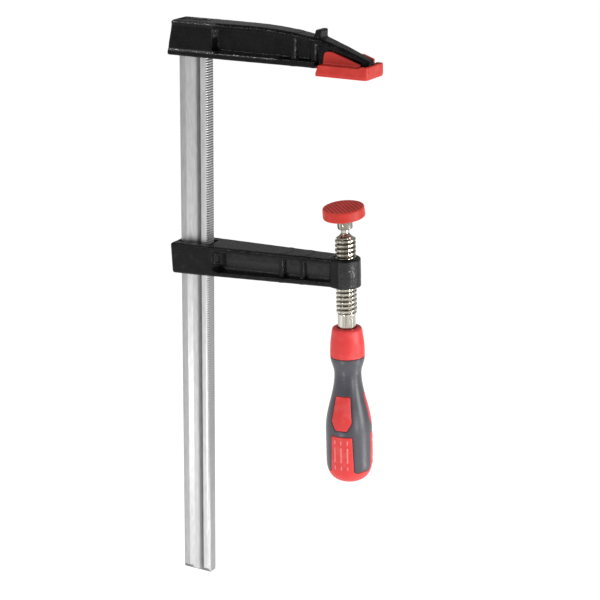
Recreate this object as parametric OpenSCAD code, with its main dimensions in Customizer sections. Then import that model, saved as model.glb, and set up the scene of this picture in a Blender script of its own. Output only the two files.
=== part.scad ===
// F clamp with a fixed jaw at the top of a profiled rail, a sliding arm and a
// screw spindle that carries a swivelling pressure pad and a two-part handle.
// Millimetres. +Z runs up the rail and +X runs from the rail to the jaw's nose.
// The origin is the centre of the fixed jaw's clamping face.

/* [Reach and opening] */
// Rail centreline to the middle of the fixed jaw's clamping face
reach = 113; // [100:1:130]
// Height of the sliding arm's middle under the fixed jaw's underside
arm_drop = 139; // [120:1:340]
// Lean of the arm on the rail, nose up
arm_lean = 2.4; // [0:0.1:3]

/* [Rail] */
// Width of the rail across its serrated edges
rail_w = 22; // [20:0.5:25]
// Thickness of the rail at its side beads
rail_t = 10.5; // [9:0.5:12]
// Length of the rail
rail_len = 400; // [350:10:600]
// Width of the bead along each edge
bead_w = 5.8; // [4:0.2:6.4]
// Width of the sloping wall between a bead and the groove's floor
groove_wall = 3; // [2:0.1:3.6]
// Thickness between the two grooves
groove_t = 7.2; // [6:0.1:8]
// Rounding of the four long edges
rail_round = 2.4; // [1:0.1:3]

/* [Fixed jaw] */
// Height of the fixed jaw over its level stretch
jaw_h = 23.6; // [20:0.1:28]
// Width of the jaw's head around the rail, and of its foot in the cap
jaw_w = 20; // [18:0.5:22]
// Width of the jaw at the lug
jaw_lug_w = 14.6; // [12:0.2:18]
// Width of the lug
lug_w = 11; // [8:0.5:12]
// Width of the nose at its tip
nose_w = 8; // [7.5:0.5:10]
// Thickness of the web between the side pockets
web_t = 7; // [6:0.5:9]
// Thickness of the lower flange
flange_t = 4.6; // [3:0.1:6]
// Thickness of the foot inside the cap
foot_t = 2.2; // [2:0.1:2.6]
// Depth of the rail's top end below the jaw's top
rail_sink = 0.8; // [0.5:0.1:2]

/* [Jaw cap] */
// Length of the plastic jaw cap
cap_len = 37; // [30:1:40]
// Width of the jaw cap
cap_w = 25; // [22:0.5:30]
// Thickness of the cap's sole
sole_t = 4; // [2:0.5:5]
// Thickness of the cap's walls
cap_wall = 2.2; // [1.5:0.1:3]

/* [Sliding arm] */
// Height of the arm at the rail
arm_h = 21.6; // [18:0.1:26]
// Height of the arm at the spindle
arm_tip_h = 19.2; // [16:0.1:22]
// Width of the arm's head around the rail
arm_w = 26; // [22:0.5:30]
// Width of the arm where it meets the boss
arm_tip_w = 16.6; // [14:0.2:20]
// Play between the rail and its slot, on each side
slot_play = 0.4; // [0.3:0.05:0.6]
// Diameter of the boss that carries the spindle
boss_d = 20; // [18:0.5:24]

/* [Spindle] */
// Outside diameter of the thread
thread_d = 14; // [12:1:16]
// Pitch of the trapezoidal thread
pitch = 3; // [2:0.5:4]
// Length of thread above the middle of the boss
thread_up = 22; // [16:1:30]
// Length of thread below the middle of the boss
thread_down = 29; // [20:1:60]
// Radial running clearance of the thread in the boss
thread_play = 0.06; // [0.02:0.01:0.1]
// Height of the ball's centre above the middle of the boss
ball_up = 32; // [30:0.5:40]
// Radius of the ball
ball_r = 4.15; // [4:0.05:4.3]
// Radius of the neck under the ball
neck_r = 2.9; // [2.6:0.1:3]

/* [Pressure pad] */
// Diameter of the plastic pad cap
pad_d = 28.2; // [24:0.2:34]
// Height of the pad cap
pad_h = 7; // [6:0.5:9]
// Lean of the pad towards the rail, from the spindle's axis
pad_lean = 1.5; // [0:0.5:6]
// Lean of the pad to one side
pad_side_lean = 7; // [0:0.5:8]

/* [Handle] */
// Distance of the handle's top below the middle of the boss
handle_drop = 38; // [34:1:70]
// Length of the red collar
collar_len = 20; // [16:1:26]
// Radius of the collar's top
collar_top_r = 10; // [9:0.5:11]
// Radius of the collar's lower end
collar_r = 11.7; // [11:0.1:13]
// Radius of the waist
waist_r = 9.1; // [8.5:0.1:10]
// Largest radius of the handle
grip_r = 15.7; // [14:0.1:17]
// Thickness of the soft overmould
grip_t = 2.2; // [1.5:0.1:2.5]

/* [Hidden] */
$fn = 96;
// Steps in each rounded corner of an outline
corner_steps = 5;
// Overshoot of a cutter past the face that it cuts
cut = 1;
// Clearance between pieces that are pressed or moulded together
snug = 0.05;

// Fixed jaw, in the rail's frame: X from the rail's axis, Z from the jaw's underside
jaw_back = 17;
jaw_level_end = 44;
jaw_curve_r = 260;
lug_start = 89.8;
lug_end = 95.3;
lug_h = 24.2;
nose_high = 19.2;
nose_mid = [110.3, 14.2];
nose_end = reach + cap_len / 2 - cap_wall - snug;
nose_low = 7;
jaw_ribs = [75.7, 90.1];
rib_t = 4.2;
rib_set_back = 1.6;
pocket_start = 18.5;
pocket_top = 20.4;

// Jaw cap
cap_rim = 3.3;
cap_front_rim = 4.5;
cheek_from = lug_end + 2;
cheek_to = 123.4;
cheek_t = 2.6;

// Sliding arm, in its own leaning frame: X from the rail's axis, Z from mid-height
arm_back = 14.3;
spindle_x = 113.8;
arm_ribs = [69.6, 85.2];
arm_pocket_start = 22;
arm_pocket_end = spindle_x - boss_d / 2;
arm_flange_t = 4;
boss_h = arm_tip_h + 0.4;

// Spindle
core_r = thread_d / 2 - pitch / 2;
shank_r = 6.1;
tang_r = 5;
tang_len = 52;
ring_wire = 0.4;
ring_r = ball_r - 0.35;

// Pressure pad, from the ball's centre
socket_r = ball_r + 0.3;
collar_drop = 2.3;
plate_collar_r = 5.25;
pad_low = 5.6;
disc_low = pad_low + 1;
disc_t = 3.4;
disc_r = pad_d / 2 - 2;

// Handle, measured down from its top
handle_len = 109;
window_half = 29;
window_turns = [-85, 35, 155];
upper_window = [47, 74];
lower_window = [76, 101];

// ---- helpers ----

function unit(v) = v / norm(v);

// Points of the arc that rounds corner p, between neighbours a and b, to radius r
function corner(a, p, b, r) =
  r == 0 ? [p] :
  let (
    u = unit(a - p),
    v = unit(b - p),
    half = acos(u * v) / 2,
    centre = p + unit(u + v) * r / sin(half),
    first = p + u * r / tan(half) - centre,
    last = p + v * r / tan(half) - centre,
    start = atan2(first[1], first[0]),
    turn = atan2(first[0] * last[1] - first[1] * last[0], first * last)
  )
  [for (i = [0:corner_steps])
    let (t = start + turn * i / corner_steps) centre + r * [cos(t), sin(t)]];

// Outline through points [x, y, radius], each corner rounded to its radius
function rounded(path) =
  let (n = len(path), xy = [for (p = path) [p[0], p[1]]])
  [for (i = [0:n - 1]) each corner(xy[(i + n - 1) % n], xy[i], xy[(i + 1) % n], path[i][2])];

// Smooth step from a to b as t runs from 0 to 1
function ease(a, b, t) = a + (b - a) * (1 - cos(180 * t)) / 2;

// Plate with its outline in XZ, centred on Y
module side_plate(path, width) {
  rotate([90, 0, 0]) linear_extrude(width, center = true) polygon(rounded(path));
}

// Cutter on both sides of a web, leaving the web
module both_sides(path, inner) {
  for (side = [0, 1]) mirror([0, side, 0])
    translate([0, -inner, 0]) rotate([90, 0, 0]) linear_extrude(40) polygon(rounded(path));
}

module in_rail_frame() {
  translate([-reach, 0, sole_t]) children();
}

module in_arm_frame() {
  in_rail_frame() translate([0, 0, -arm_drop]) rotate([0, -arm_lean, 0]) children();
}

module on_spindle_axis() {
  in_arm_frame() translate([spindle_x, 0, 0]) children();
}

module in_pad_frame() {
  on_spindle_axis() translate([0, 0, ball_up])
    rotate([0, -pad_lean, 0]) rotate([pad_side_lean, 0, 0]) children();
}

// ---- rail ----

// One long groove in a broad face, with sloping walls
module groove(side) {
  half = rail_w / 2 - bead_w;
  mirror([0, side, 0])
    polygon(rounded([
      [-half, rail_t / 2, 2], [-half + groove_wall, groove_t / 2, 2],
      [half - groove_wall, groove_t / 2, 2], [half, rail_t / 2, 2],
      [half + 1, rail_t / 2, 0], [half, rail_t, 0], [-half, rail_t, 0], [-half - 1, rail_t / 2, 0]
    ]));
}

module rail_section() {
  x = rail_w / 2;
  y = rail_t / 2;
  r = rail_round;
  difference() {
    polygon(rounded([[-x, -y, r], [x, -y, r], [x, y, r], [-x, y, r]]));
    groove(0);
    groove(1);
  }
}

module rail() {
  bevel = 2.6;
  rail_top = jaw_h - rail_sink;
  color([0.78, 0.78, 0.79]) in_rail_frame() difference() {
    translate([0, 0, rail_top - rail_len]) linear_extrude(rail_len) rail_section();
    // Bevel of the lower end on both broad faces
    for (side = [0, 1]) mirror([0, side, 0])
      translate([0, rail_t / 2 - 1.4, rail_top - rail_len]) rotate([-28, 0, 0])
        translate([-rail_w, 0, -2 * bevel]) cube([2 * rail_w, 2 * bevel, 3 * bevel]);
  }
}

// ---- fixed jaw ----

function jaw_top(x) =
  x < jaw_level_end ? jaw_h : jaw_h - pow(x - jaw_level_end, 2) / (2 * jaw_curve_r);

// Outline of the jaw and its nose, without the lug
jaw_outline = concat(
  [[-jaw_back, 0, 1], [nose_end, 0, 0.5], [nose_end, nose_low, 1]],
  [[nose_mid[0], nose_mid[1], 0], [lug_end, nose_high, 0]],
  [for (i = [5:-1:0])
    let (x = jaw_level_end + (lug_start - jaw_level_end) * i / 5) [x, jaw_top(x), 0]],
  [[-jaw_back + 3.4, jaw_h, 2]]
);

lug_outline = [
  [lug_start - 0.6, jaw_top(lug_start) - 3, 0], [lug_end, jaw_top(lug_start) - 3, 0],
  [lug_end, lug_h, 0.8], [lug_start + 2.4, lug_h, 1], [lug_start, jaw_top(lug_start), 0]
];

// Side pocket between two places along the jaw, under the top flange
function jaw_pocket(from, to) = [
  [from, flange_t, 1.5], [to, flange_t, 1.5],
  [to, jaw_top(to) - (jaw_h - pocket_top), 1.5], [from, jaw_top(from) - (jaw_h - pocket_top), 1.5]
];

// Pocket under the nose, where the cap's cheeks lie
nose_pocket = [
  [jaw_ribs[1] + rib_t / 2, foot_t, 1], [cheek_to + 0.3, foot_t, 0], [cheek_to + 0.3, 5.6, 0.4],
  [lug_end + 1, 14.2, 1], [jaw_ribs[1] + rib_t / 2, 15.6, 1]
];

module jaw_body() {
  intersection() {
    side_plate(jaw_outline, jaw_w + 2 * cut);
    translate([0, 0, -cut]) linear_extrude(jaw_h + 2 * cut) polygon(rounded([
      [-jaw_back, -jaw_w / 2, 1.5], [pocket_start, -jaw_w / 2, 6], [lug_end, -jaw_lug_w / 2, 3],
      [nose_end, -nose_w / 2, 0], [nose_end, nose_w / 2, 0], [lug_end, jaw_lug_w / 2, 3],
      [pocket_start, jaw_w / 2, 6], [-jaw_back, jaw_w / 2, 1.5]
    ]));
  }
  side_plate(lug_outline, lug_w);
  translate([lug_end + 1.5, -jaw_w / 2, 0]) cube([nose_end - lug_end - 1.5, jaw_w, foot_t]);
}

module fixed_jaw() {
  slot_w = rail_w + 2 * snug;
  slot_t = rail_t + 2 * snug;
  color([0.12, 0.12, 0.13]) in_rail_frame() difference() {
    jaw_body();
    translate([-slot_w / 2, -slot_t / 2, -cut]) cube([slot_w, slot_t, jaw_h + 2 * cut]);
    both_sides(jaw_pocket(pocket_start, jaw_ribs[0] - rib_t / 2), web_t / 2);
    both_sides(jaw_pocket(jaw_ribs[0] + rib_t / 2, jaw_ribs[1] - rib_t / 2), web_t / 2);
    both_sides(nose_pocket, web_t / 2);
    // Ribs stand a little behind the flanges
    both_sides(jaw_pocket(jaw_ribs[0] - rib_t, jaw_ribs[1] + rib_t / 2), jaw_lug_w / 2 - rib_set_back);
  }
}

// ---- jaw cap ----

// Plates that lie against the web under the nose
module cap_cheeks() {
  cheek = [
    [cheek_from, foot_t + snug, 0], [cheek_to, foot_t + snug, 0], [cheek_to, 4.8, 0.6],
    [103.8, 11.3, 2], [cheek_from + 0.8, 11.3, 3]
  ];
  for (side = [0, 1]) mirror([0, side, 0])
    translate([0, -web_t / 2 - snug, 0]) rotate([90, 0, 0])
      linear_extrude(cheek_t) polygon(rounded(cheek));
}

// Ledge from each cheek over the foot to the tray's wall
module cap_ledges() {
  inner = web_t / 2 + snug;
  for (side = [0, 1]) mirror([0, side, 0])
    translate([cheek_from, inner, foot_t + snug])
      cube([cheek_to - cheek_from, jaw_w / 2 + cap_wall / 2 - inner, cap_rim - foot_t - snug]);
}

module cap_tray() {
  x0 = reach - cap_len / 2;
  x1 = reach + cap_len / 2;
  inner_y = jaw_w / 2 + snug;
  w = cap_w / 2;
  difference() {
    // Tray whose rim is higher along the front
    intersection() {
      side_plate([
        [x0, -sole_t, 0.8], [x1, -sole_t, 0.8], [x1, cap_front_rim, 0.8],
        [x1 - 4, cap_front_rim, 1], [x1 - 6.5, cap_rim, 1], [x0 + 2.2, cap_rim, 0.8],
        [x0 + 0.8, 1, 0.5], [x0, 0.5, 0.5]
      ], cap_w + 2 * cut);
      translate([0, 0, -sole_t - cut]) linear_extrude(sole_t + 12)
        polygon(rounded([[x0, -w, 1], [x1, -w, 3], [x1, w, 3], [x0, w, 1]]));
    }
    // Room for the jaw's foot, open towards the rail
    translate([x0 - cut, -inner_y, 0]) cube([nose_end + snug - x0 + cut, 2 * inner_y, 30]);
  }
}

module fixed_jaw_cap() {
  color([0.84, 0.18, 0.15]) in_rail_frame() union() {
    cap_tray();
    cap_cheeks();
    cap_ledges();
  }
}

// ---- sliding arm ----

// Half-height of the arm at x
function arm_half(x) = arm_h / 2 + (arm_tip_h - arm_h) / 2 * x / spindle_x;

// Side pocket of the arm between two places along it
function arm_pocket(from, to) = [
  [from, arm_flange_t - arm_half(from), 1.5], [to, arm_flange_t - arm_half(to), 1.5],
  [to, arm_half(to) - arm_flange_t, 1.5], [from, arm_half(from) - arm_flange_t, 1.5]
];

module arm_body() {
  intersection() {
    side_plate([
      [-arm_back + 0.6, -arm_half(0), 1.5], [spindle_x, -arm_half(spindle_x), 0],
      [spindle_x, arm_half(spindle_x), 0], [-arm_back, arm_half(0), 1.5]
    ], arm_w + 2 * cut);
    translate([0, 0, -arm_h]) linear_extrude(2 * arm_h) polygon(rounded([
      [-arm_back, -arm_w / 2, 3], [4, -arm_w / 2, 8], [spindle_x, -arm_tip_w / 2, 0],
      [spindle_x, arm_tip_w / 2, 0], [4, arm_w / 2, 8], [-arm_back, arm_w / 2, 3]
    ]));
  }
  translate([spindle_x, 0, 0]) cylinder(d = boss_d, h = boss_h, center = true);
}

// Slot for the rail, upright while the arm leans, with relief for cocking the arm
module arm_slot() {
  half_w = rail_w / 2 + slot_play;
  slot_t = rail_t + 2 * slot_play;
  rotate([0, arm_lean, 0]) {
    translate([-half_w, -slot_t / 2, -arm_h]) cube([2 * half_w, slot_t, 2 * arm_h]);
    side_plate([
      [half_w - 1, arm_h / 2 + 2, 0], [half_w - 1, arm_h / 2 - 6, 0],
      [half_w + 2, arm_h / 2 + 2, 0]
    ], slot_t);
  }
}

module sliding_arm() {
  bore_r = thread_d / 2 + thread_play;
  color([0.17, 0.17, 0.18]) in_arm_frame() difference() {
    arm_body();
    arm_slot();
    both_sides(arm_pocket(arm_pocket_start, arm_ribs[0] - rib_t / 2), web_t / 2);
    both_sides(arm_pocket(arm_ribs[0] + rib_t / 2, arm_ribs[1] - rib_t / 2), web_t / 2);
    both_sides(arm_pocket(arm_ribs[1] + rib_t / 2, arm_pocket_end), web_t / 2);
    both_sides(arm_pocket(arm_ribs[0] - rib_t, arm_ribs[1] + rib_t), arm_tip_w / 2 - 0.2);
    // Threaded bore as a plain bore at the thread's outside diameter, with countersinks
    translate([spindle_x, 0, 0]) {
      cylinder(r = bore_r, h = boss_h + 2 * cut, center = true);
      for (end = [0, 1]) mirror([0, 0, end])
        translate([0, 0, boss_h / 2 - 0.8]) cylinder(r1 = bore_r, r2 = bore_r + 1.2, h = 1.2);
    }
  }
}

// ---- spindle ----

// Outline of one side of the ring that stands for a turn of thread, from its lower root
function thread_ring(z) = [
  [core_r, z + 0.1 * pitch], [thread_d / 2, z + 0.35 * pitch],
  [thread_d / 2, z + 0.65 * pitch], [core_r, z + 0.9 * pitch]
];

module spindle() {
  turns = floor((thread_up + thread_down) / pitch);
  flare_top = ball_up - 6;
  junction = sqrt(pow(ball_r, 2) - pow(neck_r, 2));
  side = concat(
    [[0, -handle_drop - tang_len], [tang_r, -handle_drop - tang_len], [tang_r, -handle_drop - 4]],
    [[shank_r, -handle_drop - 4], [shank_r, -thread_down]],
    [for (i = [0:turns - 1]) each thread_ring(-thread_down + i * pitch)],
    [[core_r, thread_up]],
    [for (i = [0:8]) [ease(core_r, neck_r, i / 8), thread_up + (flare_top - thread_up) * i / 8]],
    [[neck_r, ball_up - junction]],
    [for (a = [-90 + asin(neck_r / ball_r) + 6:6:84]) [ball_r * cos(a), ball_up + ball_r * sin(a)]],
    [[0, ball_up + ball_r]]
  );
  color([0.86, 0.85, 0.81]) on_spindle_axis() difference() {
    rotate_extrude() polygon(side);
    // Groove round the ball for the snap ring
    translate([0, 0, ball_up]) difference() {
      cylinder(r = ball_r + cut, h = 2 * ring_wire + 0.2, center = true);
      cylinder(r = ring_r - ring_wire - 0.1, h = 4 * ring_wire, center = true);
    }
  }
}

// Split wire ring that springs out into the pressure plate's socket
module ball_snap_ring() {
  gap = 1.2;
  color([0.6, 0.6, 0.62]) on_spindle_axis() translate([0, 0, ball_up]) difference() {
    rotate_extrude() translate([ring_r, 0]) circle(r = ring_wire, $fn = 24);
    translate([0, -gap / 2, -1]) cube([2 * ring_r, gap, 2]);
  }
}

// ---- pressure pad ----

module pressure_plate() {
  color([0.86, 0.85, 0.81]) in_pad_frame() difference() {
    rotate_extrude() polygon([
      [0, -collar_drop], [plate_collar_r - 0.7, -collar_drop],
      [plate_collar_r, 0.7 - collar_drop], [plate_collar_r, pad_low - 1.5],
      [plate_collar_r + 2.5, disc_low], [disc_r, disc_low], [disc_r, disc_low + disc_t],
      [0, disc_low + disc_t]
    ]);
    sphere(r = socket_r);
    // Mouth of the socket under the ball
    translate([0, 0, -collar_drop - cut])
      cylinder(r = sqrt(pow(socket_r, 2) - pow(collar_drop, 2)), h = cut + 0.05);
  }
}

module pressure_plate_cap() {
  top = pad_low + pad_h;
  r = pad_d / 2;
  color([0.84, 0.2, 0.19]) in_pad_frame() rotate_extrude() polygon([
    [disc_r - 2, pad_low], [r - 0.9, pad_low], [r, pad_low + 0.9], [r - 0.3, top - 0.8],
    [r - 1, top], [0, top], [0, disc_low + disc_t + snug], [disc_r + snug, disc_low + disc_t + snug],
    [disc_r + snug, disc_low - snug], [disc_r - 2, disc_low - snug]
  ]);
}

// ---- handle ----

// Radius of the handle at a distance down from its top
collar_part = [[collar_top_r - 1.2, 0], [collar_top_r, 1], [collar_r, 11], [collar_r, collar_len]];
function belly(d) =
  d < 32 ? ease(collar_r, waist_r, (d - collar_len) / 12) :
  d < 72 ? ease(waist_r, grip_r, (d - 32) / 40) : grip_r;
// Rounded end, as a quarter of a squarish ellipse
end_from = 94;
function end_round(t) = [
  grip_r * pow(cos(t), 0.62), end_from + (handle_len - end_from) * pow(sin(t), 0.9)
];

// Side outline of the handle shrunk by inset, from the top to a given end
function body_side(inset, to) = [for (d = [collar_len:4:to]) [belly(d) - inset, d]];

module revolve_down(side) {
  on_spindle_axis() translate([0, 0, -handle_drop]) mirror([0, 0, 1]) rotate_extrude() polygon(side);
}

module handle_outside() {
  revolve_down(concat([[0, 0]], collar_part, body_side(0, end_from - 2),
    [for (t = [0:10:80]) end_round(t)], [[0, handle_len]]));
}

module handle_inside() {
  revolve_down(concat(
    [[0, 0]], collar_part, body_side(grip_t, end_from - 2), [[grip_r - grip_t, end_from]],
    [[grip_r - grip_t - 2, end_from + 6], [0, end_from + 6]]
  ));
}

// Prisms that mark out the hard windows in the soft grip
module windows(room) {
  wide = grip_r * sin(window_half) + room;
  on_spindle_axis() translate([0, 0, -handle_drop]) for (turn = window_turns)
    rotate([0, 0, turn]) rotate([0, 90, 0]) linear_extrude(2 * grip_r) {
      polygon(rounded([
        [upper_window[0] - room, -wide * 0.42, 1], [upper_window[1] - 4, -wide, 1],
        [upper_window[1] + room, -wide * 0.62, 1], [upper_window[1] + room, wide * 0.62, 1],
        [upper_window[1] - 4, wide, 1], [upper_window[0] - room, wide * 0.42, 1]
      ]));
      polygon(rounded([
        [lower_window[0] - room, -wide * 0.62, 1], [lower_window[0] + 4, -wide, 1],
        [lower_window[1] + 20, -wide, 0], [lower_window[1] + 20, wide, 0],
        [lower_window[0] + 4, wide, 1], [lower_window[0] - room, wide * 0.62, 1]
      ]));
    }
}

module end_cap_zone(from) {
  on_spindle_axis() translate([0, 0, -handle_drop - handle_len - cut])
    cylinder(r = 2 * grip_r, h = handle_len + cut - from);
}

module handle_core() {
  color([0.84, 0.2, 0.19]) difference() {
    union() {
      handle_inside();
      intersection() {
        handle_outside();
        union() {
          windows(0);
          end_cap_zone(handle_len - 3);
        }
      }
    }
    on_spindle_axis() translate([0, 0, -handle_drop - tang_len - snug]) {
      cylinder(r = tang_r + snug, h = tang_len + cut);
      translate([0, 0, tang_len - 4]) cylinder(r = shank_r + snug, h = 4 + cut);
    }
  }
}

module handle_grip() {
  color([0.33, 0.33, 0.35]) difference() {
    handle_outside();
    handle_inside();
    windows(snug);
    end_cap_zone(handle_len - 3 - snug);
    // The collar belongs to the hard core
    on_spindle_axis() translate([0, 0, -handle_drop - collar_len])
      cylinder(r = 2 * grip_r, h = collar_len + cut);
  }
}

rail();
fixed_jaw();
fixed_jaw_cap();
sliding_arm();
spindle();
ball_snap_ring();
pressure_plate();
pressure_plate_cap();
handle_core();
handle_grip();
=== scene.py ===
"""Looks of the F-clamp: castings, toothed rail, threaded spindle, swivel pad and two-part handle."""

import math

import bpy
import numpy as np
from mathutils import Matrix, Vector


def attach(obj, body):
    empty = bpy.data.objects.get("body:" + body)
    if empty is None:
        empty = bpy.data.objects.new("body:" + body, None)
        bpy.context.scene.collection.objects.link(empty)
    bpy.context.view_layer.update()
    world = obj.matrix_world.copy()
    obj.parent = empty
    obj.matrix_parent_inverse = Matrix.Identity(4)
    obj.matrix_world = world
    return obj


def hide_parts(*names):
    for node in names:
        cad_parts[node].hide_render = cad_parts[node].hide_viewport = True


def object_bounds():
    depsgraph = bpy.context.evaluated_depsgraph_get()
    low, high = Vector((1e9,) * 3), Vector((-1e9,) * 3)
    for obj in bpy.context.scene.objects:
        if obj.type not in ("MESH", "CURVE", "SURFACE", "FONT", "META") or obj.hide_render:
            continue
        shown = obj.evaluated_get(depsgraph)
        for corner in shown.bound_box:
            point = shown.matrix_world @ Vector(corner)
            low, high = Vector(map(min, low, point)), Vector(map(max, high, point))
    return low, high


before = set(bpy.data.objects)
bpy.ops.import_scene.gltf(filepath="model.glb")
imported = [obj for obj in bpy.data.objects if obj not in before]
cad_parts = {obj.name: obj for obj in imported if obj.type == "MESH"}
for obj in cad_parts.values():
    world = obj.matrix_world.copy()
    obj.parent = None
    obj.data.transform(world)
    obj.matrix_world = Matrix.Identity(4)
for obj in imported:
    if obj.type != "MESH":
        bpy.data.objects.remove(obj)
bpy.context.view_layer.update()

MM = 0.001
# How much of a colour that carries painted tone and shade comes from the shape; the rest is noise
TONE_AND_SHADE_SHARE = 0.6
# The painted tone of a piece where nothing else is said
PLAIN = 0.85

# ---- main sizes, in millimetres ----

REACH = 113.0
SOLE = 4.0
ARM_DROP = 139.0
ARM_LEAN = 2.4
SPINDLE_X = 113.8
BALL_UP = 32.0
PAD_LEAN = 1.5
PAD_SIDE_LEAN = 7.0
HANDLE_DROP = 38.0

RAIL_FRAME = Matrix.Translation((-REACH, 0, SOLE))
ARM_FRAME = (
    RAIL_FRAME
    @ Matrix.Translation((0, 0, -ARM_DROP))
    @ Matrix.Rotation(math.radians(-ARM_LEAN), 4, "Y")
)
SPINDLE_FRAME = ARM_FRAME @ Matrix.Translation((SPINDLE_X, 0, 0))
PAD_FRAME = (
    SPINDLE_FRAME
    @ Matrix.Translation((0, 0, BALL_UP))
    @ Matrix.Rotation(math.radians(-PAD_LEAN), 4, "Y")
    @ Matrix.Rotation(math.radians(PAD_SIDE_LEAN), 4, "X")
)
HANDLE_FRAME = SPINDLE_FRAME @ Matrix.Translation((0, 0, -HANDLE_DROP))

# ---- distance fields: negative inside, in millimetres ----


def unit(v):
    return v / np.hypot(*v)


def rounded(path, steps=4):
    """Closed outline through points (x, y, radius), with each corner rounded."""
    points = []
    for i, (x, y, radius) in enumerate(path):
        p = np.array((x, y), float)
        if radius == 0:
            points.append(p)
            continue
        u = unit(np.array(path[i - 1][:2]) - p)
        v = unit(np.array(path[(i + 1) % len(path)][:2]) - p)
        half = math.acos(np.clip(u @ v, -1, 1)) / 2
        centre = p + unit(u + v) * radius / math.sin(half)
        first = p + u * radius / math.tan(half) - centre
        last = p + v * radius / math.tan(half) - centre
        turn = math.atan2(first[0] * last[1] - first[1] * last[0], first @ last)
        start = math.atan2(first[1], first[0])
        for k in range(steps + 1):
            a = start + turn * k / steps
            points.append(centre + radius * np.array((math.cos(a), math.sin(a))))
    return np.array(points)


def outline(x, y, path):
    """Distance to a closed outline in a plane."""
    best = np.full(x.shape, np.inf)
    sign = np.ones(x.shape)
    for i in range(len(path)):
        ax, ay = path[i]
        ex, ey = path[i - 1][0] - ax, path[i - 1][1] - ay
        if ex == 0 and ey == 0:
            continue
        wx, wy = x - ax, y - ay
        t = np.clip((wx * ex + wy * ey) / (ex * ex + ey * ey), 0, 1)
        best = np.minimum(best, (wx - ex * t) ** 2 + (wy - ey * t) ** 2)
        above, below, left = wy >= 0, y < path[i - 1][1], ex * wy > ey * wx
        sign = np.where(
            (above & below & left) | (~above & ~below & ~left), -sign, sign
        )
    return sign * np.sqrt(best)


def meet(a, b, r):
    """What is inside both a and b, with the edge between them rounded to r."""
    return np.minimum(-r, np.maximum(a, b)) + np.hypot(
        np.maximum(a + r, 0), np.maximum(b + r, 0)
    )


def join(a, b, r):
    """What is inside a or b, with the corner between them filled to r."""
    return -meet(-a, -b, r)


def cut(a, b, r):
    """What is inside a and outside b, with the edge rounded to r."""
    return meet(a, -b, r)


def between(v, low, high):
    return np.maximum(low - v, v - high)


def smooth(v, low, high):
    t = np.clip((v - low) / (high - low), 0, 1)
    return t * t * (3 - 2 * t)


def waviness(p, depth, length, seed):
    """Gentle unevenness of a cast or moulded face."""
    rng = np.random.default_rng(seed)
    total = np.zeros(len(p))
    for _ in range(6):
        way = rng.normal(size=3)
        way *= 2 * math.pi / length / np.linalg.norm(way) * rng.uniform(0.7, 1.4)
        total += np.sin(p @ way + rng.uniform(0, 6.28))
    return total * depth / 3


# ---- meshes from distance fields ----


def sample(field, low, counts, step):
    """Field values on a grid. Only blocks near the surface are worked out in full."""
    block = 4
    blocks = -(-counts // block)
    where = np.stack(
        np.meshgrid(*[np.arange(n) for n in blocks], indexing="ij"), -1
    ).reshape(-1, 3)
    values = field(low + step * (block * where + (block - 1) / 2)).reshape(blocks)
    for axis in range(3):
        values = values.repeat(block, axis)
    values = values[: counts[0], : counts[1], : counts[2]].copy()
    near = np.abs(values) < 5 * step
    values[near] = field(low + step * np.argwhere(near))
    return values


def cell_points(values, low, step):
    """One point for each grid cell that the surface crosses, and each cell's number."""
    inside = values < 0
    cells_shape = [n - 1 for n in values.shape]
    corners = [np.array((i, j, k)) for i in (0, 1) for j in (0, 1) for k in (0, 1)]
    filled = sum(
        inside[tuple(slice(c[a], c[a] + cells_shape[a]) for a in range(3))].astype(
            np.int8
        )
        for c in corners
    )
    active = (filled > 0) & (filled < 8)
    cells = np.argwhere(active)
    number = np.full(cells_shape, -1)
    number[active] = np.arange(len(cells))
    total, count = np.zeros((len(cells), 3)), np.zeros(len(cells))
    for a in corners:
        for axis in range(3):
            if a[axis]:
                continue
            b = a.copy()
            b[axis] = 1
            va, vb = values[tuple((cells + a).T)], values[tuple((cells + b).T)]
            crossing = (va < 0) != (vb < 0)
            t = np.where(crossing, va / np.where(crossing, va - vb, 1), 0)
            total += crossing[:, None] * (a + t[:, None] * (b - a))
            count += crossing
    return low + step * (cells + total / count[:, None]), number


def cell_faces(values, number):
    """A quad round each grid edge that the surface crosses."""
    inside = values < 0
    faces = []
    for axis in range(3):
        u, v = (axis + 1) % 3, (axis + 2) % 3
        lower = [slice(None)] * 3
        upper = [slice(None)] * 3
        lower[axis], upper[axis] = slice(0, -1), slice(1, None)
        edges = np.argwhere(inside[tuple(lower)] != inside[tuple(upper)])
        eu, ev = np.eye(3, dtype=int)[u], np.eye(3, dtype=int)[v]
        quad = np.stack(
            [
                number[tuple((edges - off).T)]
                for off in (eu + ev, ev, np.zeros(3, int), eu)
            ],
            1,
        )
        outward = inside[tuple(edges.T)]
        quad[~outward] = quad[~outward][:, ::-1]
        faces.append(quad)
    return np.concatenate(faces)


def settle(field, points, step):
    """Moves the points onto the surface."""
    for _ in range(3):
        here = field(points)
        slope = np.stack(
            [(field(points + step * 0.1 * e) - here) / (step * 0.1) for e in np.eye(3)],
            1,
        )
        move = (here / np.maximum((slope**2).sum(1), 0.3))[:, None] * slope
        points = points - np.clip(move, -0.4 * step, 0.4 * step)
    return points


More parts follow.
